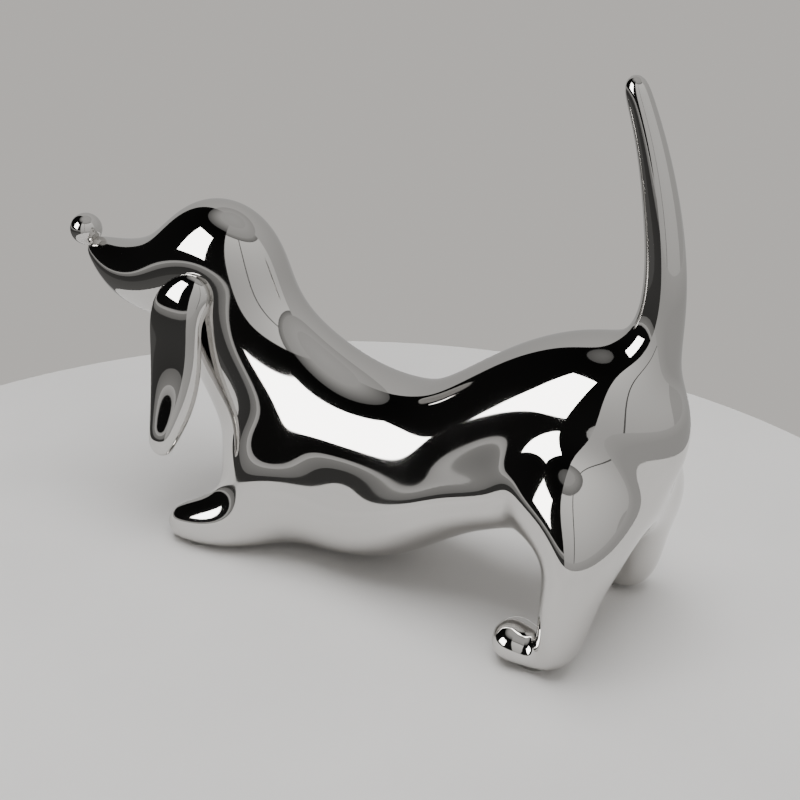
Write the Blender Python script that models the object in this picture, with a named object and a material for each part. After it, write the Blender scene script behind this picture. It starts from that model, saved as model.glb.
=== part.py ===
"""Dog figurine: a long, low dog stretching on its forelegs with its tail straight up.

Metres, +Z up. The nose points along -Y and the dog's left side is +X. The origin is on the
table, under the middle of the whole figure. The figure is slip cast: hollow castings with a
4 mm wall meet at flat luted seams, the small pieces are solid, and the finish is mirror plate.

Each form is a string of balls along a smooth curve, fused and smoothed as soft clay would be.
The hollow inside is the same string with every ball one wall thickness smaller.
"""

import math

import bmesh
import bpy
import numpy as np
from mathutils import Matrix, Vector

MM = 0.001

# Driving dimensions, in millimetres until a function turns them into metres.
WALL = 4.0
SEAM_GAP = 0.3
THINNEST_HOLLOW = 3.0
SOLE_HEIGHT = 1.0
PAD_RADIUS = 6.0
PAD_THICKNESS = 0.7
NOSE_CENTRE = (0.0, -182.8, 150.5)
NOSE_RADIUS = 9.2
VENT_WIDTH = 5.0
VENT_Y = 0.0
BALL_SPACING = 0.22
FUSE_VOXEL = 2.5
LEAST_KEPT = 0.9
OUTSIDE_DETAIL = 0.078
HOLLOW_DETAIL = 0.045
SMALL_DETAIL = 0.16

# Sections of each form, chosen by hand: x, y, z, radius, width factor across the dog.
TRUNK = (
    (0, 148, 111, 44, 0.75),  # rump
    (0, 125, 105, 42, 0.75),  # croup
    (0, 95, 90, 36, 0.88),  # loin
    (0, 65, 75, 32, 0.93),  # saddle
    (0, 40, 66, 39, 0.90),  # ribs
    (0, 10, 63, 44, 0.80),  # chest
    (0, -25, 76, 43, 0.75),  # shoulder
    (0, -60, 101, 41, 0.70),  # neck
    (0, -74, 132, 38, 0.70),  # nape
    (0, -74, 152, 36, 0.70),  # skull
    (0, -86, 148, 33, 0.85),  # brow
    (0, -112, 134, 25, 1.00),  # cheek
    (0, -146, 130, 18, 1.10),  # muzzle
    (0, -174, 141, 6, 1.20),  # tip
)
KEEL = (
    (0, -38, 39, 33, 1.15),  # breast
    (0, 0, 32, 28, 1.35),
    (0, 30, 31, 22, 1.65),  # lowest point
    (0, 54, 44, 16, 2.00),
    (0, 80, 59, 13, 2.20),
    (0, 105, 69, 12, 2.40),
    (0, 128, 76, 9, 2.50),  # groin
)
FORELEG = (
    (3, -20, 51, 36, 1.0),  # shoulder
    (22, -32, 28, 23, 1.0),  # elbow
    (36, -48, 16, 16, 1.0),  # wrist
    (42, -65, 13, 14, 1.0),  # paw
    (43, -80, 9, 10, 1.0),  # toes
)
HINDLEG = (
    (6, 144, 82, 30, 1.50),  # hip
    (34, 162, 68, 17, 1.50),  # thigh
    (42, 155, 39, 12, 1.50),  # shin
    (44, 154, 11, 10, 1.40),  # heel
    (45, 146, 7, 6, 1.30),  # instep
    (45, 129, 11, 11, 1.30),  # toes
)
TAIL = (
    (0, 153, 124, 28, 1.0),  # root
    (0, 169, 146, 12, 1.0),
    (0, 174, 176, 9, 1.0),
    (0, 169, 211, 8, 1.0),
    (0, 161, 242, 6, 1.0),
    (0, 152, 264, 5, 1.0),  # tip
)
EAR = (
    (28, -76, 138, 13, 0.40),  # fold at the skull
    (34, -86, 129, 17, 0.40),
    (34, -85, 109, 17, 0.42),  # broadest part
    (38, -85, 83, 16, 0.46),
    (50, -87, 57, 8, 0.55),  # hanging end
)

# Seam planes: a point on the seam and the direction that the cut piece lies in.
NECK_SEAM = ((0, -52.5, 96.0), (0, -0.65, 0.76))
FORELEG_SEAM = ((35.0, -43.5, 18.0), (0.55, -0.74, -0.39))
HINDLEG_SEAM = ((38.0, 152.5, 48.0), (0, 0.40, -0.92))
HEAD_BLOCK = (220.0, 160.0, 190.0)
FORELEG_BLOCK = (70.0, 70.0, 80.0)
HINDLEG_BLOCK = (110.0, 75.0, 80.0)


def clear_scene():
    """Remove whatever the file holds."""
    for item in list(bpy.data.objects):
        bpy.data.objects.remove(item, do_unlink=True)


def material(name, colour, metallic, roughness):
    """A Principled material of one colour."""
    made = bpy.data.materials.new(name)
    made.use_nodes = True
    shader = made.node_tree.nodes["Principled BSDF"]
    shader.inputs["Base Color"].default_value = (*colour, 1.0)
    shader.inputs["Metallic"].default_value = metallic
    shader.inputs["Roughness"].default_value = roughness
    return made


def new_object(name, mesh, finish=None):
    """Link a mesh into the scene under a name, in a material of its own."""
    made = bpy.data.objects.new(name, mesh)
    bpy.context.collection.objects.link(made)
    if finish:
        colour, metallic, roughness = finish
        mesh.materials.clear()
        mesh.materials.append(material(name, colour, metallic, roughness))
    return made


def as_guide(item):
    """Mark an object as a guide or cutter, which is not one of the pieces."""
    item.hide_render = True
    item.display_type = "WIRE"
    return item


def mesh_of(name, build):
    """A new mesh from a function that fills a bmesh."""
    work = bmesh.new()
    build(work)
    mesh = bpy.data.meshes.new(name)
    work.to_mesh(mesh)
    work.free()
    return mesh


def smooth_path(stations, count):
    """Uniform cubic B-spline through the two end stations, sampled at count points."""
    points = np.array(stations, float)
    padded = np.vstack([2 * points[0] - points[1], points, 2 * points[-1] - points[-2]])
    spans = len(points) - 1
    place = np.linspace(0, spans, count)
    span = np.minimum(place.astype(int), spans - 1)
    t = (place - span)[:, None]
    weights = ((1 - t) ** 3, 3 * t**3 - 6 * t**2 + 4, -3 * t**3 + 3 * t**2 + 3 * t + 1, t**3)
    return sum(w * padded[span + k] for k, w in enumerate(weights)) / 6


def balls(stations, thinner=0.0):
    """Balls strung along the stations, a share of their radius apart, each thinner than given."""
    fine = smooth_path(stations, 400)
    steps = np.linalg.norm(np.diff(fine[:, :3], axis=0), axis=1)
    middle_radius = (fine[1:, 3] + fine[:-1, 3]) / 2
    reach = np.concatenate([[0], np.cumsum(steps / (middle_radius * BALL_SPACING))])
    count = int(math.ceil(reach[-1])) + 1
    strung = np.stack([np.interp(np.linspace(0, reach[-1], count), reach, c) for c in fine.T], 1)
    strung[:, 3] -= thinner
    return [row for row in strung if row[3] >= THINNEST_HOLLOW]


def mirrored(stations):
    """The same stations on the dog's right side."""
    return tuple((-x, y, z, r, w) for x, y, z, r, w in stations)


def add_balls(work, rows, wall=0.0):
    """Add one stretched icosphere per ball, in metres, its width less one wall too."""
    for x, y, z, radius, width in rows:
        across = max((radius + wall) * width - wall, THINNEST_HOLLOW / 2) if wall else radius * width
        size = Matrix.Diagonal((across / radius, 1, 1, 1))
        place = Matrix.Translation(Vector((x, y, z)) * MM) @ size
        bmesh.ops.create_icosphere(work, subdivisions=3, radius=radius * MM, matrix=place)


def fused(name, strings, detail, rounds, thinner=0.0, symmetric=True):
    """Fuse strings of balls into one smooth closed form, keeping a share of its faces."""

    def build(work):
        for stations in strings:
            add_balls(work, balls(stations, thinner), thinner)

    form = as_guide(new_object(name, mesh_of(name, build)))
    fuse = form.modifiers.new("fuse", "REMESH")
    fuse.mode = "VOXEL"
    fuse.voxel_size = FUSE_VOXEL * MM
    soften = form.modifiers.new("soften", "SMOOTH")
    soften.factor = 0.5
    soften.iterations = rounds
    thin_out = form.modifiers.new("thin_out", "DECIMATE")
    thin_out.ratio = detail
    thin_out.use_symmetry = symmetric
    thin_out.symmetry_axis = "X"
    return form


def evaluated_mesh(item, name):
    """The object's mesh with its modifiers worked out."""
    graph = bpy.context.evaluated_depsgraph_get()
    mesh = bpy.data.meshes.new_from_object(item.evaluated_get(graph))
    mesh.name = name
    return mesh


def grown(form, name):
    """A copy of a form that is one seam gap larger all round, to cut its neighbours with."""
    cutter = as_guide(new_object(name, evaluated_mesh(form, name)))
    swell = cutter.modifiers.new("swell", "DISPLACE")
    swell.mid_level = 0.0
    swell.strength = SEAM_GAP * MM
    return cutter


def block(name, centre, size, turn=None):
    """A box used as a cutter, given by its centre and full size in millimetres."""
    place = Matrix.Translation(Vector(centre) * MM)
    if turn:
        place = place @ turn.to_4x4()
    scale = Matrix.Diagonal((*(Vector(size) * MM), 1))
    mesh = mesh_of(name, lambda work: bmesh.ops.create_cube(work, size=1.0, matrix=place @ scale))
    return as_guide(new_object(name, mesh))


def seam_block(name, seam, size, side=1, ease=0.0):
    """A box whose near face lies on a seam, drawn back by ease from the seam plane.

    The size is its height along the seam, its width across the dog and its reach past the seam.
    """
    point, direction = (Vector(part) for part in seam)
    point.x *= side
    direction.x *= side
    direction.normalize()
    turn = direction.to_track_quat("Z", "X").to_matrix()
    centre = point + direction * (size[2] / 2 + ease)
    return block(name, centre, size, turn)


def cut(item, cutter, operation="DIFFERENCE"):
    """Apply a Boolean with a cutter and leave the result in the object's own mesh."""
    step = item.modifiers.new(cutter.name, "BOOLEAN")
    step.operation = operation
    step.object = cutter
    old = item.data
    name = old.name
    mesh = evaluated_mesh(item, name)
    item.modifiers.clear()
    item.data = mesh
    bpy.data.meshes.remove(old)


def hollow_blank(outer, inner):
    """One mesh with the outside of the body and its hollow, which faces inwards."""

    def build(work):
        work.from_mesh(evaluated_mesh(inner, "hollow"))
        bmesh.ops.reverse_faces(work, faces=work.faces[:])
        work.from_mesh(evaluated_mesh(outer, "outside"))

    return mesh_of("casting_blank", build)


def round_off(item):
    """Shade the curved faces smooth and keep the seam edges sharp."""
    item.data.shade_smooth()
    item.data.set_sharp_from_angle(angle=math.radians(40))


def keep_largest(item):
    """Drop loose crumbs, such as the part of a trimmed piece inside the body it sits on."""
    work = bmesh.new()
    work.from_mesh(item.data)
    left = set(work.verts)
    groups = []
    while left:
        group = {left.pop()}
        front = list(group)
        while front:
            here = front.pop()
            near = {edge.other_vert(here) for edge in here.link_edges} - group
            group |= near
            front.extend(near)
        left -= group
        groups.append(group)
    groups.sort(key=len)
    kept = len(groups[-1]) / sum(map(len, groups))
    if kept < LEAST_KEPT:
        raise ValueError(f"{item.name}: a cut left pieces, and the largest holds {kept:.0%} of it")
    for group in groups[:-1]:
        bmesh.ops.delete(work, geom=list(group), context="VERTS")
    work.to_mesh(item.data)
    work.free()


def add_casting(name, blank, keep, finish):
    """A casting is the blank after a list of Booleans, without the crumbs they leave."""
    casting = new_object(name, blank.copy(), finish)
    for cutter, operation in keep:
        cut(casting, cutter, operation)
    keep_largest(casting)
    round_off(casting)


def add_castings(blank, floor, finish):
    """The torso, the head and the four legs, cut from one blank at the seams."""
    half_gap = SEAM_GAP / 2
    seams = {
        "head_casting": (NECK_SEAM, HEAD_BLOCK, 1),
        "front_left_leg": (FORELEG_SEAM, FORELEG_BLOCK, 1),
        "front_right_leg": (FORELEG_SEAM, FORELEG_BLOCK, -1),
        "rear_left_leg": (HINDLEG_SEAM, HINDLEG_BLOCK, 1),
        "rear_right_leg": (HINDLEG_SEAM, HINDLEG_BLOCK, -1),
    }
    away = []
    for name, (seam, size, side) in seams.items():
        inside = seam_block(name + "_block", seam, size, side, half_gap)
        add_casting(name, blank, [(floor, "DIFFERENCE"), (inside, "INTERSECT")], finish)
        past = seam_block(name + "_seam", seam, size, side, -half_gap)
        away.append((past, "DIFFERENCE"))
    vent_centre = (0, VENT_Y, 0)
    vent = block("vent_hole", vent_centre, (VENT_WIDTH, VENT_WIDTH, 30))
    add_casting("torso_casting", blank, [*away, (vent, "DIFFERENCE")], finish)


def add_trimmed(name, stations, cutter, finish):
    """A small solid piece, fused from balls and trimmed to sit on the body."""
    form = fused(name + "_form", [stations], SMALL_DETAIL, 2, symmetric=False)
    piece = new_object(name, evaluated_mesh(form, name), finish)
    cut(piece, cutter)
    keep_largest(piece)
    round_off(piece)


def add_nose(cutter, finish):
    """The ball on the tip of the muzzle."""
    place = Matrix.Translation(Vector(NOSE_CENTRE) * MM)

    def build(work):
        bmesh.ops.create_icosphere(work, subdivisions=3, radius=NOSE_RADIUS * MM, matrix=place)

    nose = new_object("nose_ball", mesh_of("nose_ball", build), finish)
    cut(nose, cutter)
    round_off(nose)


def add_foot_pads(finish):
    """A thin round pad under each paw, whose lower face rests on the table."""
    feet = {
        "front_left_foot_pad": (43.0, -69.0),
        "front_right_foot_pad": (-43.0, -69.0),
        "rear_left_foot_pad": (45.5, 141.0),
        "rear_right_foot_pad": (-45.5, 141.0),
    }
    for name, (x, y) in feet.items():
        place = Matrix.Translation(Vector((x, y, PAD_THICKNESS / 2)) * MM)

        def build(work, place=place):
            bmesh.ops.create_cone(
                work,
                cap_ends=True,
                segments=24,
                radius1=PAD_RADIUS * MM,
                radius2=PAD_RADIUS * MM,
                depth=PAD_THICKNESS * MM,
                matrix=place,
            )

        pad = new_object(name, mesh_of(name, build), finish)
        round_off(pad)


def build_figurine():
    """Make the forms, cut the castings from them and add the small pieces."""
    clear_scene()
    mirror_plate = ((0.64, 0.63, 0.615), 1.0, 0.04)
    clear_pad = ((0.55, 0.55, 0.53), 0.0, 0.5)
    body = [TRUNK, KEEL, FORELEG, mirrored(FORELEG), HINDLEG, mirrored(HINDLEG)]
    outer = fused("body_form", body, OUTSIDE_DETAIL, 6)
    inner = fused("hollow_form", body, HOLLOW_DETAIL, 6, thinner=WALL)
    body_cutter = grown(outer, "body_cutter")
    blank = hollow_blank(outer, inner)
    floor = block("sole_plane", (0, 0, SOLE_HEIGHT - 25), (400, 600, 50))
    add_castings(blank, floor, mirror_plate)
    add_nose(body_cutter, mirror_plate)
    add_trimmed("tail_casting", TAIL, body_cutter, mirror_plate)
    add_trimmed("left_ear", EAR, body_cutter, mirror_plate)
    add_trimmed("right_ear", mirrored(EAR), body_cutter, mirror_plate)
    add_foot_pads(clear_pad)


build_figurine()
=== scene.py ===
import logging
import math
from abc import ABC, abstractmethod
from dataclasses import dataclass, field
from enum import Enum

import bmesh
import bpy
import numpy as np
from mathutils import Matrix, Vector


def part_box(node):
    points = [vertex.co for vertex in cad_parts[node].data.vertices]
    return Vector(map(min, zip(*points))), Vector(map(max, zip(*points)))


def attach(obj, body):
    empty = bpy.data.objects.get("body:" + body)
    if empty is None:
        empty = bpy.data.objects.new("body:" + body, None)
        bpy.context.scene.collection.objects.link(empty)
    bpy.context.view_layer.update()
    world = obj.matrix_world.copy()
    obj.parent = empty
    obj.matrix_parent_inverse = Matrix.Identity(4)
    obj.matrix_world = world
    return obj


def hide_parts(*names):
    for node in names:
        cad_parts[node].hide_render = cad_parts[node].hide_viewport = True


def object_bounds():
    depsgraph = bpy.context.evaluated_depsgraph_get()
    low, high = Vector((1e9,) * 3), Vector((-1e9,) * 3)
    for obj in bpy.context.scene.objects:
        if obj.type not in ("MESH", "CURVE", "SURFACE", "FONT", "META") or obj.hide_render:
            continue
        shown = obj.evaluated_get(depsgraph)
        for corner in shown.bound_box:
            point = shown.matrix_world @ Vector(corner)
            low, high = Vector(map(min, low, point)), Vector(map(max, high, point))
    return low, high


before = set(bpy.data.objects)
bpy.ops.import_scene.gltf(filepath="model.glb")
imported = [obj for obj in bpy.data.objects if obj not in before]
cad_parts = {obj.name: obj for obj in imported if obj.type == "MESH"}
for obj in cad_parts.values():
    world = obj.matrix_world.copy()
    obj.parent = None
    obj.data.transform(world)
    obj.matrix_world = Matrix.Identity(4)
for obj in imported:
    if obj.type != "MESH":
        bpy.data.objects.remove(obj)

LOG = logging.getLogger("dog_figurine")
MM = 0.001
CAD_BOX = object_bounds()
BODY = "root"
MIRROR_SLOT = "mirror_plate"
PAD_SLOT = "foot_pad"
SOLE_HEIGHT = 0.8 * MM
TENT_ROWS = 13
TENT_COLUMNS = 25
TABLE_SIDES = 240

Array = np.ndarray
Tree = bpy.types.NodeTree
Node = bpy.types.Node
Socket = bpy.types.NodeSocket
Stations = tuple[tuple[float, float, float, float, float], ...]

# Sections of each form, in millimetres: x, y, z, radius, and how much wider
# than deep the form is there.
TRUNK: Stations = (
    (0, 148, 111, 44, 0.75),  # rump
    (0, 125, 105, 42, 0.75),  # croup
    (0, 95, 90, 36, 0.88),  # loin
    (0, 65, 75, 32, 0.93),  # saddle
    (0, 40, 66, 39, 0.90),  # ribs
    (0, 10, 63, 44, 0.80),  # chest
    (0, -25, 76, 43, 0.75),  # shoulder
    (0, -60, 101, 41, 0.70),  # neck
    (0, -74, 132, 38, 0.70),  # nape
    (0, -74, 152, 36, 0.70),  # skull
    (0, -86, 148, 33, 0.85),  # brow
    (0, -112, 134, 25, 1.00),  # cheek
    (0, -146, 130, 18, 1.10),  # muzzle
    (0, -174, 141, 6, 1.20),  # tip
)
KEEL: Stations = (
    (0, -38, 39, 33, 1.15),  # breast
    (0, 0, 32, 28, 1.35),
    (0, 30, 31, 22, 1.65),  # lowest point
    (0, 54, 44, 16, 2.00),
    (0, 80, 59, 13, 2.20),
    (0, 105, 69, 12, 2.40),
    (0, 128, 76, 9, 2.50),  # groin
)
FORELEG: Stations = (
    (3, -20, 51, 36, 1.0),  # shoulder
    (22, -32, 28, 23, 1.0),  # elbow
    (36, -48, 16, 16, 1.0),  # wrist
    (42, -65, 13, 14, 1.0),  # paw
    (43, -80, 9, 10, 1.0),  # toes
)
HINDLEG: Stations = (
    (6, 144, 82, 30, 1.50),  # hip
    (34, 162, 68, 17, 1.50),  # thigh
    (42, 155, 39, 12, 1.50),  # shin
    (44, 154, 11, 10, 1.40),  # heel
    (45, 146, 7, 6, 1.30),  # instep
    (45, 129, 11, 11, 1.30),  # toes
)
TAIL: Stations = (
    (0, 153, 124, 28, 1.0),  # root
    (0, 169, 146, 12, 1.0),
    (0, 174, 176, 9, 1.0),
    (0, 169, 211, 8, 1.0),
    (0, 161, 242, 6, 1.0),
    (0, 152, 264, 5, 1.0),  # tip
)
EAR: Stations = (
    (28, -76, 138, 13, 0.40),  # fold at the skull
    (34, -86, 129, 17, 0.40),
    (34, -85, 109, 17, 0.42),  # broadest part
    (38, -85, 83, 16, 0.46),
    (50, -87, 57, 8, 0.55),  # hanging end
)


class Side(Enum):
    """Which side of the dog a paired piece is on, as the sign of its x."""

    LEFT = 1
    RIGHT = -1

    def __str__(self) -> str:
        """The word used in the piece's name."""
        return self.name.lower()


def smooth_path(stations: Stations, count: int) -> Array:
    """Sample the uniform cubic B-spline that starts and ends on the end stations.

    Each span blends four neighbouring stations with the weights (1-t)^3, 3t^3-6t^2+4,
    -3t^3+3t^2+3t+1 and t^3, all over six.

    Args:
        stations: Rows of x, y, z, radius and width factor.
        count: Number of samples along the whole path.

    Returns:
        An array of count rows with the stations' columns.
    """
    points = np.array(stations, float)
    padded = np.vstack([2 * points[0] - points[1], points, 2 * points[-1] - points[-2]])
    spans = len(points) - 1
    place = np.linspace(0, spans, count)
    span = np.minimum(place.astype(int), spans - 1)
    t = (place - span)[:, None]
    weights = ((1 - t) ** 3, 3 * t**3 - 6 * t**2 + 4, -3 * t**3 + 3 * t**2 + 3 * t + 1, t**3)
    return sum(w * padded[span + k] for k, w in enumerate(weights)) / 6


class Form(ABC):
    """A solid given by a number that is negative inside it and grows like distance outside."""

    @abstractmethod
    def at(self, points: Array) -> tuple[Array, Array]:
        """Work out the form at points.

        Args:
            points: Rows of x, y, z in metres.

        Returns:
            The value at each point, and its slope as one row per point.
        """

    def settle(self, points: Array, rounds: int = 2) -> tuple[Array, Array]:
        """Move points onto the surface by Newton steps along the slope.

        Args:
            points: Rows of x, y, z near the surface.
            rounds: Number of steps.

        Returns:
            The settled points and their unit normals.
        """
        for _ in range(rounds):
            value, slope = self.at(points)
            points = points - slope * (value / np.maximum((slope**2).sum(1), 1e-6))[:, None]
        slope = self.at(points)[1]
        return points, slope / np.linalg.norm(slope, axis=1)[:, None]


@dataclass
class Limb(Form):
    """A string of stretched balls, rolled into one smooth form.

    The value is -k log(sum w exp(-(d - r) / k)) over the balls, where d is the distance from a
    ball's centre with x divided by its width factor, r its radius and w its share of the length.
    """

    stations: Stations
    count: int
    side: Side = Side.LEFT
    turn: float = 0.0
    roll: float = 2.0 * MM
    share: int = 12000

    def __post_init__(self) -> None:
        """Place the balls along the stations."""
        rows = smooth_path(self.stations, self.count)
        centres = rows[:, :3] * MM * (self.side.value, 1, 1)
        steps = np.linalg.norm(np.gradient(centres, axis=0), axis=1)
        self.centres = centres
        self.radii = rows[:, 3] * MM
        self.stretch = rows[:, 4]
        thick = np.maximum(self.radii, MM)
        self.weights = np.log(steps / np.sqrt(2 * math.pi * thick * self.roll))
        angle = self.turn * self.side.value
        cos, sin = math.cos(angle), math.sin(angle)
        self.turned = np.array(((cos, sin, 0), (-sin, cos, 0), (0, 0, 1)))

    def at(self, points: Array) -> tuple[Array, Array]:
        """The soft union of the balls and its slope."""
        parts = [self._at(points[i : i + self.share]) for i in range(0, len(points), self.share)]
        return tuple(np.concatenate(column) for column in zip(*parts, strict=True))

    def _at(self, points: Array) -> tuple[Array, Array]:
        """The same for one share of the points."""
        offset = (points[:, None, :] - self.centres) @ self.turned.T
        offset[:, :, 0] /= self.stretch
        far = np.sqrt((offset**2).sum(2))
        score = self.weights - (far - self.radii) / self.roll
        top = score.max(1)
        pull = np.exp(score - top[:, None])
        total = pull.sum(1)
        offset[:, :, 0] /= self.stretch
        pull /= total[:, None] * np.maximum(far, 1e-9)
        slope = np.einsum("pb,pbk->pk", pull, offset) @ self.turned
        return -self.roll * (top + np.log(total)), slope


@dataclass
class Blend(Form):
    """Several forms joined with a rounded fillet: -k log(sum exp(-value / k))."""

    forms: list[Form]
    fillet: float

    def at(self, points: Array) -> tuple[Array, Array]:
        """The smooth smallest value and its slope."""
        values, slopes = zip(*(form.at(points) for form in self.forms), strict=True)
        values = np.array(values)
        low = values.min(0)
        pull = np.exp(-(values - low) / self.fillet)
        total = pull.sum(0)
        slope = np.einsum("fp,fpk->pk", pull / total, np.array(slopes))
        return low - self.fillet * np.log(total), slope


@dataclass
class FlatSole(Form):
    """A form cut flat at a height, with a softened edge: the smooth larger of two values."""

    form: Form
    height: float
    edge: float

    def at(self, points: Array) -> tuple[Array, Array]:
        """The larger of the form and the height above each point, and its slope."""
        value, slope = self.form.at(points)
        under = self.height - points[:, 2]
        high = np.maximum(value, under)
        own, flat = np.exp((value - high) / self.edge), np.exp((under - high) / self.edge)
        slope = (slope * own[:, None] - flat[:, None] * (0, 0, 1)) / (own + flat)[:, None]
        return high + self.edge * np.log(own + flat), slope


@dataclass
class Skin:
    """A surface mesh: points, faces as rows of point numbers, and unit normals."""

    points: Array
    faces: list | Array
    normals: Array | None = None


@dataclass
class Net:
    """Nets a form's surface on a cubic lattice, one point to each cell that it crosses."""

    low: tuple[float, float, float]
    high: tuple[float, float, float]
    cell: float
    coarse: int = 4

    def skin(self, form: Form) -> Skin:
        """Net the form.

        A coarse lattice finds where the surface runs. The fine lattice is worked out only
        there. Each crossed cell takes the mean of its edge crossings, and each crossed edge
        joins the four cells round it.

        Args:
            form: The form, whose surface closes inside the lattice.

        Returns:
            A closed skin of quads whose points lie on the form.
        """
        values = self._fine_values(form)
        inside = values < 0
        shape = np.array(values.shape)
        total = np.zeros((*(shape - 1), 3))
        crossings = np.zeros(shape - 1)
        for axis in range(3):
            near, far = self._ends(values, axis)
            crossed = (near < 0) != (far < 0)
            part = np.where(crossed, near / np.where(crossed, near - far, 1), 0)
            self._gather(total, crossings, crossed, part, axis)
        cells = np.argwhere(crossings > 0)
        number = np.full(shape - 1, -1)
        number[tuple(cells.T)] = np.arange(len(cells))
        places = total[tuple(cells.T)] / crossings[tuple(cells.T)][:, None]
        points = np.array(self.low) + self.cell * (cells + places)
        faces = np.vstack([self._faces(inside, number, axis) for axis in range(3)])
        return Skin(points, faces)

    def _lattice(self, step: float) -> tuple[Array, tuple[int, ...]]:
        """The lattice's points at a spacing, and its shape."""
        sizes = [int(math.ceil((b - a) / step)) + 1 for a, b in zip(self.low, self.high, strict=True)]
        axes = [a + step * np.arange(n) for a, n in zip(self.low, sizes, strict=True)]
        return np.stack(np.meshgrid(*axes, indexing="ij"), -1), tuple(sizes)

    def _fine_values(self, form: Form) -> Array:
        """The form on the fine lattice, exact near its surface and only rough elsewhere."""
        step = self.cell * self.coarse
        grid, shape = self._lattice(step)
        rough = form.at(grid.reshape(-1, 3))[0].reshape(shape)
        spread = rough
        for axis in range(3):
            spread = np.repeat(spread, self.coarse, axis=axis)
        fine, size = self._lattice(self.cell)
        pad = [(0, max(0, n - m)) for n, m in zip(size, spread.shape, strict=True)]
        spread = np.pad(spread, pad, mode="edge")[: size[0], : size[1], : size[2]].copy()
        near = np.abs(spread) < step * 2.2
        spread[near] = form.at(fine[near])[0]
        return spread

    @staticmethod
    def _ends(values: Array, axis: int) -> tuple[Array, Array]:
        """The values at the near and far end of every lattice edge along an axis."""
        near = [slice(None)] * 3
        far = [slice(None)] * 3
        near[axis], far[axis] = slice(0, -1), slice(1, None)
        return values[tuple(near)], values[tuple(far)]

    @staticmethod
    def _gather(total: Array, crossings: Array, crossed: Array, part: Array, axis: int) -> None:
        """Add the crossings on edges along an axis to the four cells round each edge."""
        others = [k for k in range(3) if k != axis]
        for first in (0, 1):
            for second in (0, 1):
                take = [slice(None)] * 3
                take[others[0]] = slice(0, -1) if first == 0 else slice(1, None)
                take[others[1]] = slice(0, -1) if second == 0 else slice(1, None)
                here = crossed[tuple(take)]
                total[..., axis] += np.where(here, part[tuple(take)], 0)
                total[..., others[0]] += here * first
                total[..., others[1]] += here * second
                crossings += here

    @staticmethod
    def _faces(inside: Array, number: Array, axis: int) -> Array:
        """Quads through the crossed edges along an axis, turned to face outwards."""
        near, far = Net._ends(inside, axis)
        a, b = (axis + 1) % 3, (axis + 2) % 3
        edges = np.argwhere(near != far)
        edges = edges[(edges[:, a] > 0) & (edges[:, b] > 0)]
        out = near[tuple(edges.T)]
        step_a, step_b = np.eye(3, dtype=int)[a], np.eye(3, dtype=int)[b]
        round_edge = (edges - step_a - step_b, edges - step_b, edges, edges - step_a)
        quads = np.stack([number[tuple(cell.T)] for cell in round_edge], 1)
        quads[~out] = quads[~out][:, ::-1]
        return quads


def ring_faces(rings: int, around: int) -> list[tuple[int, ...]]:
    """Faces of a grid of rings closed by a fan to a pole at each end.

    Args:
        rings: Number of rings, numbered ring by ring; the two poles come last.
        around: Points on each ring.

    Returns:
        Faces that look outwards when the rings turn anticlockwise seen from the last pole.
    """
    index = np.arange(rings * around).reshape(rings, around)
    after = np.roll(index, -1, axis=1)
    quads = np.stack([index[:-1], after[:-1], after[1:], index[1:]], -1).reshape(-1, 4)
    first, last = rings * around, rings * around + 1
    caps = [(first, b, a) for a, b in zip(index[0], after[0], strict=True)]
    caps += [(last, a, b) for a, b in zip(index[-1], after[-1], strict=True)]
    return [tuple(map(int, face)) for face in (*quads, *caps)]


def new_object(name: str, skin: Skin) -> bpy.types.Object:
    """Link a skin into the scene as a named object, shaded by its own normals.

    Args:
        name: The object's name.
        skin: Points, faces and, if it has them, normals.

    Returns:
        The object, untransformed at the origin.
    """
    faces = skin.faces.tolist() if isinstance(skin.faces, np.ndarray) else skin.faces
    mesh = bpy.data.meshes.new(name)
    mesh.from_pydata(skin.points.tolist(), [], faces)
    mesh.shade_smooth()
    if skin.normals is not None:
        mesh.normals_split_custom_set_from_vertices(skin.normals.tolist())
    made = bpy.data.objects.new(name, mesh)
    bpy.context.scene.collection.objects.link(made)
    return made


def body_form() -> Form:
    """The body as one clay form: trunk and keel, four legs, flat soles, and the tail."""
    trunk = Blend([Limb(TRUNK, 90), Limb(KEEL, 44)], fillet=12 * MM)
    legs = [Limb(row, count, side) for row, count in ((FORELEG, 18), (HINDLEG, 26)) for side in Side]
    body = Blend([trunk, *legs], fillet=5.5 * MM)
    return FlatSole(Blend([body, Limb(TAIL, 36)], fillet=3 * MM), SOLE_HEIGHT, 1.2 * MM)


@dataclass(frozen=True)
class Seam:
    """A flat luted seam: a point on it and the way that the cut piece lies from it."""

    point: tuple[float, float, float]
    way: tuple[float, float, float]
    side: Side = Side.LEFT

    def plane(self) -> tuple[Vector, Vector]:
        """The seam's point in metres and its unit direction, on this side of the dog."""
        point, way = Vector(self.point) * MM, Vector(self.way).normalized()
        point.x *= self.side.value
        way.x *= self.side.value
        return point, way


@dataclass(frozen=True)
class Casting:
    """One slip-cast piece: its node, its seam and how far round the seam it reaches."""

    node: str
    seam: Seam
    reach: float


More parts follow.
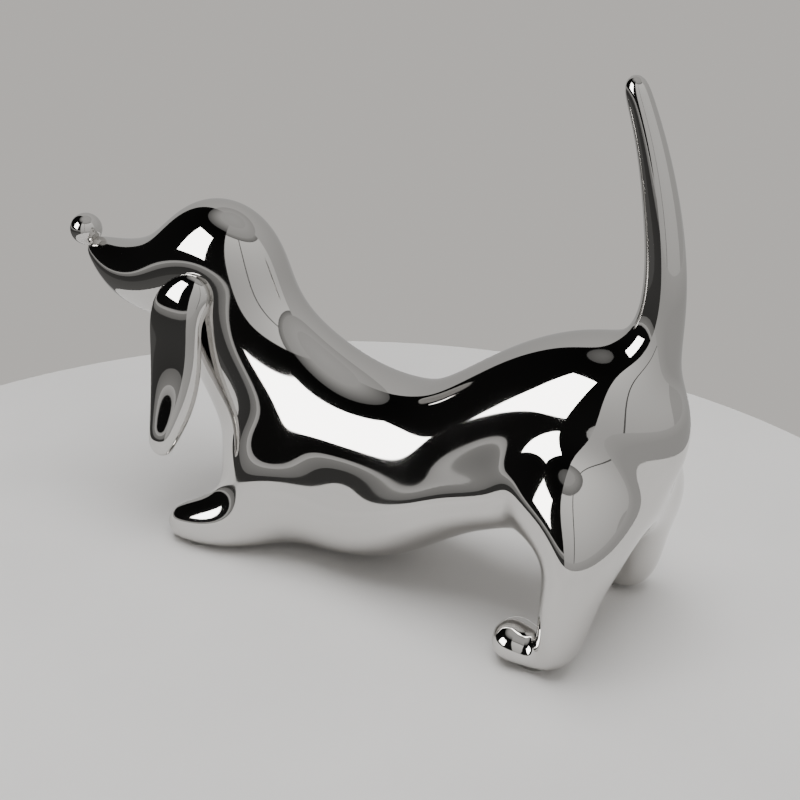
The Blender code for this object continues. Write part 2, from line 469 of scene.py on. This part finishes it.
class ShapeKeeper:
    """Cuts the body's one skin into castings that keep its exact normals."""

    def __init__(self, skin: Skin) -> None:
        """Keep the whole skin."""
        self.work = bmesh.new()
        faces = skin.faces.tolist()
        verts = [self.work.verts.new(p) for p in skin.points.tolist()]
        for face in faces:
            self.work.faces.new([verts[k] for k in face])
        self.work.faces.ensure_lookup_table()

    def take(self, casting: Casting) -> Skin:
        """Cut off a casting.

        Args:
            casting: The piece to cut off.

        Returns:
            The casting's skin, with a flat cap on its seam.
        """
        point, way = casting.seam.plane()
        near = self._within(point, casting)
        geometry = list({item for face in near for item in (*face.verts, *face.edges, face)})
        bmesh.ops.bisect_plane(self.work, geom=geometry, plane_co=point, plane_no=way, dist=1e-7)
        chosen = {f for f in self._within(point, casting) if (f.calc_center_median() - point).dot(way) > 0}
        piece = largest_patch(chosen)
        skin = capped(piece)
        bmesh.ops.delete(self.work, geom=list(piece), context="FACES")
        return skin

    def rest(self) -> Skin:
        """What is left, with a cap on every seam."""
        skin = capped(set(self.work.faces))
        self.work.free()
        return skin

    def _within(self, point: Vector, casting: Casting) -> set:
        """The faces near the seam, on the casting's side of the dog for a leg."""
        return {
            face
            for face in self.work.faces
            if (face.calc_center_median() - point).length < casting.reach
            and (abs(point.x) < MM or face.calc_center_median().x * point.x > 0)
        }


def largest_patch(faces: set) -> set:
    """The largest set of faces that join through shared edges."""
    left, best = set(faces), set()
    while left:
        front = [left.pop()]
        patch = set(front)
        while front:
            for edge in front.pop().edges:
                for face in edge.link_faces:
                    if face in left:
                        left.discard(face)
                        patch.add(face)
                        front.append(face)
        best = max(best, patch, key=len)
    return best


def capped(faces: set) -> Skin:
    """Copy faces into a skin and close each open loop with one flat face."""
    verts = sorted({v for f in faces for v in f.verts}, key=lambda v: tuple(v.co))
    number = {v: k for k, v in enumerate(verts)}
    rows = [[number[v] for v in f.verts] for f in faces]
    directed = {(a, b) for row in rows for a, b in zip(row, row[1:] + row[:1], strict=True)}
    after = {b: a for a, b in directed if (b, a) not in directed}
    while after:
        start, here = after.popitem()
        loop = [start]
        while here != start:
            loop.append(here)
            here = after.pop(here)
        rows.append(loop)
    return Skin(np.array([v.co for v in verts]), sorted(rows))


def turned_skin(centre: tuple[float, float, float], profile: Array, around: int = 64) -> Skin:
    """Turn a profile about an upright axis.

    Point (u, v) is the centre plus (r cos v, r sin v, h), where r and h are the radius and the
    height of profile row u. The first and last rows lie on the axis and become the poles.

    Args:
        centre: The axis' foot, in metres.
        profile: Rows of radius and height, from the bottom pole to the top pole.
        around: Points on each ring.

    Returns:
        A closed skin.
    """
    turns = np.linspace(0, 2 * math.pi, around, endpoint=False)
    radius, height = profile[1:-1].T
    tall = np.repeat(height[:, None], around, 1)
    rings = np.stack([radius[:, None] * np.cos(turns), radius[:, None] * np.sin(turns), tall], -1)
    poles = np.array([(0, 0, profile[0, 1]), (0, 0, profile[-1, 1])])
    points = np.vstack([rings.reshape(-1, 3), poles]) + centre
    return Skin(points, ring_faces(len(radius), around))


def ball_profile(radius: float, rows: int = 40) -> Array:
    """A half circle from the bottom pole to the top pole."""
    tilt = np.linspace(-math.pi / 2, math.pi / 2, rows)
    return radius * np.stack([np.cos(tilt), np.sin(tilt)], 1)


def pad_profile(radius: float, thickness: float, edge: float) -> Array:
    """A disc whose lower and upper rims are rounded by an edge radius."""
    tilt = np.linspace(0, math.pi / 2, 8)
    low = np.stack([radius - edge + edge * np.sin(tilt), edge - edge * np.cos(tilt)], 1)
    high = np.stack([low[::-1, 0], thickness - low[::-1, 1]], 1)
    return np.vstack([(0, 0), (radius * 0.5, 0), low, high, (radius * 0.5, thickness), (0, thickness)])


@dataclass(frozen=True)
class Finish(ABC):
    """A finish as a node material on object coordinates."""

    name: str
    colour: tuple[float, float, float]

    @abstractmethod
    def fill(self, tree: Tree, shader: Node, place: Socket) -> None:
        """Add the finish's own nodes."""

    def make(self) -> bpy.types.Material:
        """Build the material.

        Returns:
            A node material.
        """
        made = bpy.data.materials.new(self.name)
        made.use_nodes = True
        tree = made.node_tree
        shader = tree.nodes["Principled BSDF"]
        shader.inputs["Base Color"].default_value = (*self.colour, 1)
        place = tree.nodes.new("ShaderNodeTexCoord").outputs["Object"]
        self.fill(tree, shader, place)
        return made


def noise(tree: Tree, place: Socket, scale: float, detail: float) -> Socket:
    """A noise value between 0 and 1 at a scale per metre."""
    node = tree.nodes.new("ShaderNodeTexNoise")
    node.inputs["Scale"].default_value = scale
    node.inputs["Detail"].default_value = detail
    tree.links.new(place, node.inputs["Vector"])
    return node.outputs["Fac"]


def spread(tree: Tree, value: Socket, low: float, high: float) -> Socket:
    """Map a noise value's usual range onto low to high."""
    node = tree.nodes.new("ShaderNodeMapRange")
    node.inputs["From Min"].default_value = 0.35
    node.inputs["From Max"].default_value = 0.65
    node.inputs["To Min"].default_value = low
    node.inputs["To Max"].default_value = high
    tree.links.new(value, node.inputs["Value"])
    return node.outputs["Result"]


def tinted(tree: Tree, value: Socket, low: tuple, high: tuple) -> Socket:
    """Mix two colours by a value."""
    node = tree.nodes.new("ShaderNodeMix")
    node.data_type = "RGBA"
    node.inputs["A"].default_value = (*low, 1)
    node.inputs["B"].default_value = (*high, 1)
    tree.links.new(value, node.inputs["Factor"])
    return node.outputs["Result"]


def relief(tree: Tree, shader: Node, height: Socket, depth: float, strength: float) -> None:
    """Let a height bump the surface by a depth in metres."""
    node = tree.nodes.new("ShaderNodeBump")
    node.inputs["Distance"].default_value = depth
    node.inputs["Strength"].default_value = strength
    tree.links.new(height, node.inputs["Height"])
    tree.links.new(node.outputs["Normal"], shader.inputs["Normal"])


@dataclass(frozen=True)
class MirrorPlate(Finish):
    """Silver plating over glaze: a clear mirror, faintly wavy, with soft handling haze."""

    haze: tuple[float, float] = (0.015, 0.06)
    wave: float = 0.05 * MM

    def fill(self, tree: Tree, shader: Node, place: Socket) -> None:
        """Vary the plating's roughness and tint, and ripple it like glaze."""
        shader.inputs["Metallic"].default_value = 1.0
        cloud = noise(tree, place, 22, 3)
        tree.links.new(spread(tree, cloud, *self.haze), shader.inputs["Roughness"])
        dim = tuple(c * 0.93 for c in self.colour)
        tone = spread(tree, noise(tree, place, 9, 2), 0, 1)
        tree.links.new(tinted(tree, tone, dim, self.colour), shader.inputs["Base Color"])
        relief(tree, shader, noise(tree, place, 30, 1), self.wave, 0.6)


@dataclass(frozen=True)
class SoftPad(Finish):
    """Matte translucent grey pad with a fine grain."""

    def fill(self, tree: Tree, shader: Node, place: Socket) -> None:
        """Grain the pad and vary its tone."""
        shader.inputs["Transmission Weight"].default_value = 0.25
        grain = noise(tree, place, 2600, 4)
        tree.links.new(spread(tree, grain, 0.5, 0.7), shader.inputs["Roughness"])
        dim = tuple(c * 0.85 for c in self.colour)
        tone = spread(tree, noise(tree, place, 500, 2), 0, 1)
        tree.links.new(tinted(tree, tone, dim, self.colour), shader.inputs["Base Color"])
        relief(tree, shader, grain, 0.04 * MM, 0.5)


@dataclass(frozen=True)
class TableTop(Finish):
    """Pale smooth table top with a faint mottle."""

    def fill(self, tree: Tree, shader: Node, place: Socket) -> None:
        """Mottle the top a little."""
        shader.inputs["Roughness"].default_value = 0.7
        shader.inputs["Specular IOR Level"].default_value = 0.0
        dim = tuple(c * 0.95 for c in self.colour)
        tone = spread(tree, noise(tree, place, 7, 5), 0, 1)
        tree.links.new(tinted(tree, tone, dim, self.colour), shader.inputs["Base Color"])


@dataclass
class Figurine:
    """The dog: six castings cut from one form, two ears, a nose ball and four pads."""

    nose_centre: tuple[float, float, float]
    nose_radius: float
    pad_radius: float
    pad_thickness: float
    neck: Seam
    foreleg: Seam
    hindleg: Seam
    tail: Seam
    cell: float = 1.8 * MM
    pieces: list[bpy.types.Object] = field(default_factory=list)

    @classmethod
    def from_frame(cls) -> "Figurine":
        """Take the sizes from the CAD nodes' boxes where they have one."""
        low, high = (Vector(corner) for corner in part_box("nose_ball"))
        pad_low, pad_high = (Vector(corner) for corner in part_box("front_left_foot_pad"))
        return cls(
            nose_centre=tuple((low + high) / 2),
            nose_radius=(high.z - low.z) / 2,
            pad_radius=(pad_high.x - pad_low.x) / 2,
            pad_thickness=pad_high.z - pad_low.z,
            neck=Seam((0, -52.5, 96), (0, -0.65, 0.76)),
            foreleg=Seam((35, -43.5, 18), (0.55, -0.74, -0.39)),
            hindleg=Seam((38, 152.5, 48), (0, 0.40, -0.92)),
            tail=Seam((0, 171, 156), (0, 0, 1)),
        )

    def build(self) -> None:
        """Make every piece."""
        self._castings()
        for side in Side:
            self._ear(side)
        self._add("nose_ball", turned_skin(self.nose_centre, ball_profile(self.nose_radius)))
        profile = pad_profile(self.pad_radius, self.pad_thickness, 0.25 * MM)
        for end in ("front", "rear"):
            for side in Side:
                node = f"{end}_{side}_foot_pad"
                low, high = (Vector(corner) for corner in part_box(node))
                foot = ((low.x + high.x) / 2, (low.y + high.y) / 2, low.z)
                self._add(node, turned_skin(foot, profile))

    def dress(self, plate: Finish, pad: Finish) -> None:
        """Give each piece its finish.

        Args:
            plate: The finish of the castings, ears and nose.
            pad: The finish of the pads.
        """
        made = {MIRROR_SLOT: plate.make(), PAD_SLOT: pad.make()}
        for piece in self.pieces:
            slot = PAD_SLOT if piece["node"].endswith("pad") else MIRROR_SLOT
            piece.data.materials.append(made[slot])

    def _castings(self) -> None:
        """Net the body once and cut it into its castings."""
        form = body_form()
        low = tuple(Vector(CAD_BOX[0]) - Vector((1, 1, 1)) * 8 * MM)
        high = tuple(Vector(CAD_BOX[1]) + Vector((1, 1, 1)) * 8 * MM)
        skin = Net(low, high, self.cell).skin(form)
        skin.points = form.settle(skin.points)[0]
        keeper = ShapeKeeper(skin)
        cuts = [Casting("head_casting", self.neck, 170 * MM), Casting("tail_casting", self.tail, 150 * MM)]
        for side in Side:
            fore = Seam(self.foreleg.point, self.foreleg.way, side)
            hind = Seam(self.hindleg.point, self.hindleg.way, side)
            cuts.append(Casting(f"front_{side}_leg", fore, 62 * MM))
            cuts.append(Casting(f"rear_{side}_leg", hind, 62 * MM))
        for casting in cuts:
            self._add(casting.node, keeper.take(casting), form)
        self._add("torso_casting", keeper.rest(), form)

    def _ear(self, side: Side) -> None:
        """Net one hanging ear."""
        form = Limb(EAR, 26, side, math.radians(1.7))
        node = f"{side}_ear"
        low, high = (Vector(corner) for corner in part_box(node))
        room = Vector((1, 1, 1)) * 6 * MM
        skin = Net(tuple(low - room), tuple(high + room), 1.1 * MM).skin(form)
        self._add(node, skin, form)

    def _add(self, node: str, skin: Skin, form: Form | None = None) -> None:
        """Put a skin into the scene in place of its CAD node."""
        if form:
            skin.normals = form.settle(skin.points, 0)[1]
        piece = new_object(f"{node}_surface", skin)
        piece["node"] = node
        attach(piece, BODY)
        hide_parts(node)
        self.pieces.append(piece)
        LOG.info("%s: %d points, %d faces", piece.name, len(skin.points), len(skin.faces))


@dataclass(frozen=True)
class Glow:
    """A panel's light: how bright, its tint, and whether the mesh grades it."""

    name: str
    strength: float
    graded: bool = False
    tint: tuple[float, float, float] = (1.0, 0.985, 0.96)

    def make(self) -> bpy.types.Material:
        """Build the emission material."""
        made = bpy.data.materials.new(self.name)
        made.use_nodes = True
        tree = made.node_tree
        tree.nodes.clear()
        glow = tree.nodes.new("ShaderNodeEmission")
        glow.inputs["Color"].default_value = (*self.tint, 1)
        glow.inputs["Strength"].default_value = self.strength
        if self.graded:
            shade = tree.nodes.new("ShaderNodeAttribute")
            shade.attribute_name = "glow"
            tree.links.new(shade.outputs["Fac"], glow.inputs["Strength"])
        out = tree.nodes.new("ShaderNodeOutputMaterial")
        tree.links.new(glow.outputs["Emission"], out.inputs["Surface"])
        return made


@dataclass
class Studio:
    """A round pale table in a tent of glowing panels, with one softbox.

    The tent's panels glow with painted light and painted shade, standing in for lit boards, floor
    and walls. The tent surrounds the figure and shows only in reflections and as fill light.
    Azimuth is measured from +X towards +Y, and both angles are in degrees.
    """

    middle: Vector = field(default_factory=lambda: Vector((0, 0.028, 0.1)))
    tent_radius: float = 7.0
    table_centre: tuple[float, float] = (0.05, 0.01)
    table_radius: float = 0.36
    box_azimuth: float = math.radians(-34)
    box_elevation: float = math.radians(26.5)
    box_distance: float = 4.6
    box_width: float = 2.37
    box_height: float = 2.84
    box_tilt: tuple[float, float, float] = (0.16, 0.43, -0.10)

    def build(self) -> None:
        """Set up the table, tent, softbox, fill light, wall colour and camera."""
        self._table()
        for name, azimuths, elevations, glow in TENT:
            self._patch(name, azimuths, elevations, glow)
        self._softbox()
        self._fill_light()
        self._wall()
        self._camera()

    def _stage(self, name: str, points: Array, faces: list, material: bpy.types.Material) -> bpy.types.Object:
        """Link one piece of the set."""
        made = new_object(name, Skin(points, faces))
        made.data.materials.append(material)
        return made

    def _table(self) -> None:
        """The table top: a flat disc."""
        turns = np.linspace(0, 2 * math.pi, TABLE_SIDES, endpoint=False)
        ring = np.stack([np.cos(turns), np.sin(turns), 0 * turns], 1) * self.table_radius
        points = ring + (*self.table_centre, 0)
        top = TableTop("table_top", (0.78, 0.77, 0.76)).make()
        self._stage("table", points, [list(range(TABLE_SIDES))], top)

    def _patch(self, name: str, azimuths: tuple, elevations: tuple, glow: tuple) -> None:
        """One glowing panel of the tent, its painted light running evenly from its bottom to its top."""
        across = np.radians(np.linspace(*azimuths, TENT_COLUMNS))
        up = np.radians(np.linspace(*elevations, TENT_ROWS))
        a, e = np.meshgrid(across, up)
        ways = np.stack([np.cos(e) * np.cos(a), np.cos(e) * np.sin(a), np.sin(e)], -1).reshape(-1, 3)
        index = np.arange(a.size).reshape(a.shape)
        faces = np.stack([index[:-1, :-1], index[1:, :-1], index[1:, 1:], index[:-1, 1:]], -1).reshape(-1, 4)
        points = np.array(self.middle) + ways * self.tent_radius
        board = self._stage(name, points, faces.tolist(), Glow(name, 1.0, graded=True).make())
        shade = board.data.attributes.new("glow", "FLOAT", "POINT")
        shade.data.foreach_set("value", np.repeat(np.linspace(*glow, TENT_ROWS), TENT_COLUMNS))
        board.visible_camera = False

    def _softbox(self) -> None:
        """The one bright rectangle, tilted as it hangs from its stand."""
        azimuth, elevation = self.box_azimuth, self.box_elevation
        level = math.cos(elevation)
        out = Vector((level * math.cos(azimuth), level * math.sin(azimuth), math.sin(elevation)))
        side = Vector((-math.sin(azimuth), math.cos(azimuth), 0))
        rise = out.cross(side)
        tilt = Vector(self.box_tilt)
        turn = Matrix.Rotation(tilt.length, 3, tilt)
        side, rise = turn @ side * self.box_width / 2, turn @ rise * self.box_height / 2
        centre = self.middle + out * self.box_distance
        corners = [centre - side - rise, centre - side + rise, centre + side + rise, centre + side - rise]
        box = self._stage("softbox", np.array(corners), [[0, 1, 2, 3]], Glow("softbox", 11.0).make())
        box.visible_camera = False
        box.visible_diffuse = False

    def _fill_light(self) -> None:
        """A wide overhead light that shows in no reflection."""
        light = bpy.data.lights.new("overhead", "AREA")
        light.size = 1.6
        light.energy = 34
        lamp = bpy.data.objects.new("overhead", light)
        lamp.location = (0.2, 0.1, 1.8)
        lamp.visible_glossy = False
        lamp.visible_camera = False
        bpy.context.scene.collection.objects.link(lamp)

    def _wall(self) -> None:
        """The plain grey that lies behind the table."""
        world = bpy.data.worlds.new("wall")
        world.use_nodes = True
        world.node_tree.nodes["Background"].inputs["Color"].default_value = (0.54, 0.52, 0.495, 1)
        bpy.context.scene.world = world

    def _camera(self) -> None:
        """Look across the table from the dog's rear left."""
        lens = bpy.data.cameras.new("camera")
        lens.angle = math.radians(35)
        view = bpy.data.objects.new("camera", lens)
        view.location = (0.496, 0.364, 0.353)
        view.rotation_euler = (math.radians(90 - 23.5), 0, math.radians(123.5))
        bpy.context.scene.collection.objects.link(view)
        bpy.context.scene.camera = view


# The tent's glowing panels of painted light and shade, in degrees: name, azimuths, elevations, and glow at
# the bottom and top.
TENT = (
    ("near_floor", (-110, 4), (-90, -14), (0.20, 0.10)),
    ("far_floor", (4, 250), (-90, -14), (0.36, 0.42)),
    # painted shadow: a dark glowing band for the shade just beyond the table's edge
    ("dark_skirting", (-110, 4), (-14, -6), (0.06, 0.05)),
    ("far_skirting", (4, 250), (-14, -6), (0.42, 0.50)),
    ("grey_skirting", (-110, 4), (-6, -2), (0.20, 0.30)),
    ("light_skirting", (-110, 4), (-2, 0), (0.60, 0.40)),
    ("black_wall", (-110, 4), (0, 56), (0.008, 0.004)),
    ("near_board", (4, 33), (-6, 50), (0.55, 0.95)),
    ("board_seam", (33, 35), (-6, 50), (0.12, 0.12)),
    ("far_board", (35, 110), (-6, 50), (0.60, 0.95)),
    ("board_top", (4, 110), (50, 56), (0.20, 0.40)),
    ("back_wall", (110, 250), (-6, 56), (0.45, 0.62)),
    ("dark_ceiling", (-110, 4), (56, 72), (0.12, 0.50)),
    ("light_ceiling", (4, 250), (56, 72), (0.45, 0.55)),
    ("top", (-180, 180), (72, 90), (0.50, 0.55)),
)


def main() -> None:
    """Build the figurine and its studio."""
    logging.basicConfig(level=logging.INFO)
    figurine = Figurine.from_frame()
    figurine.build()
    figurine.dress(
        MirrorPlate("mirror_plate", (0.64, 0.63, 0.615)),
        SoftPad("foot_pad", (0.55, 0.55, 0.53)),
    )
    Studio().build()


if __name__ == "__main__":
    main()
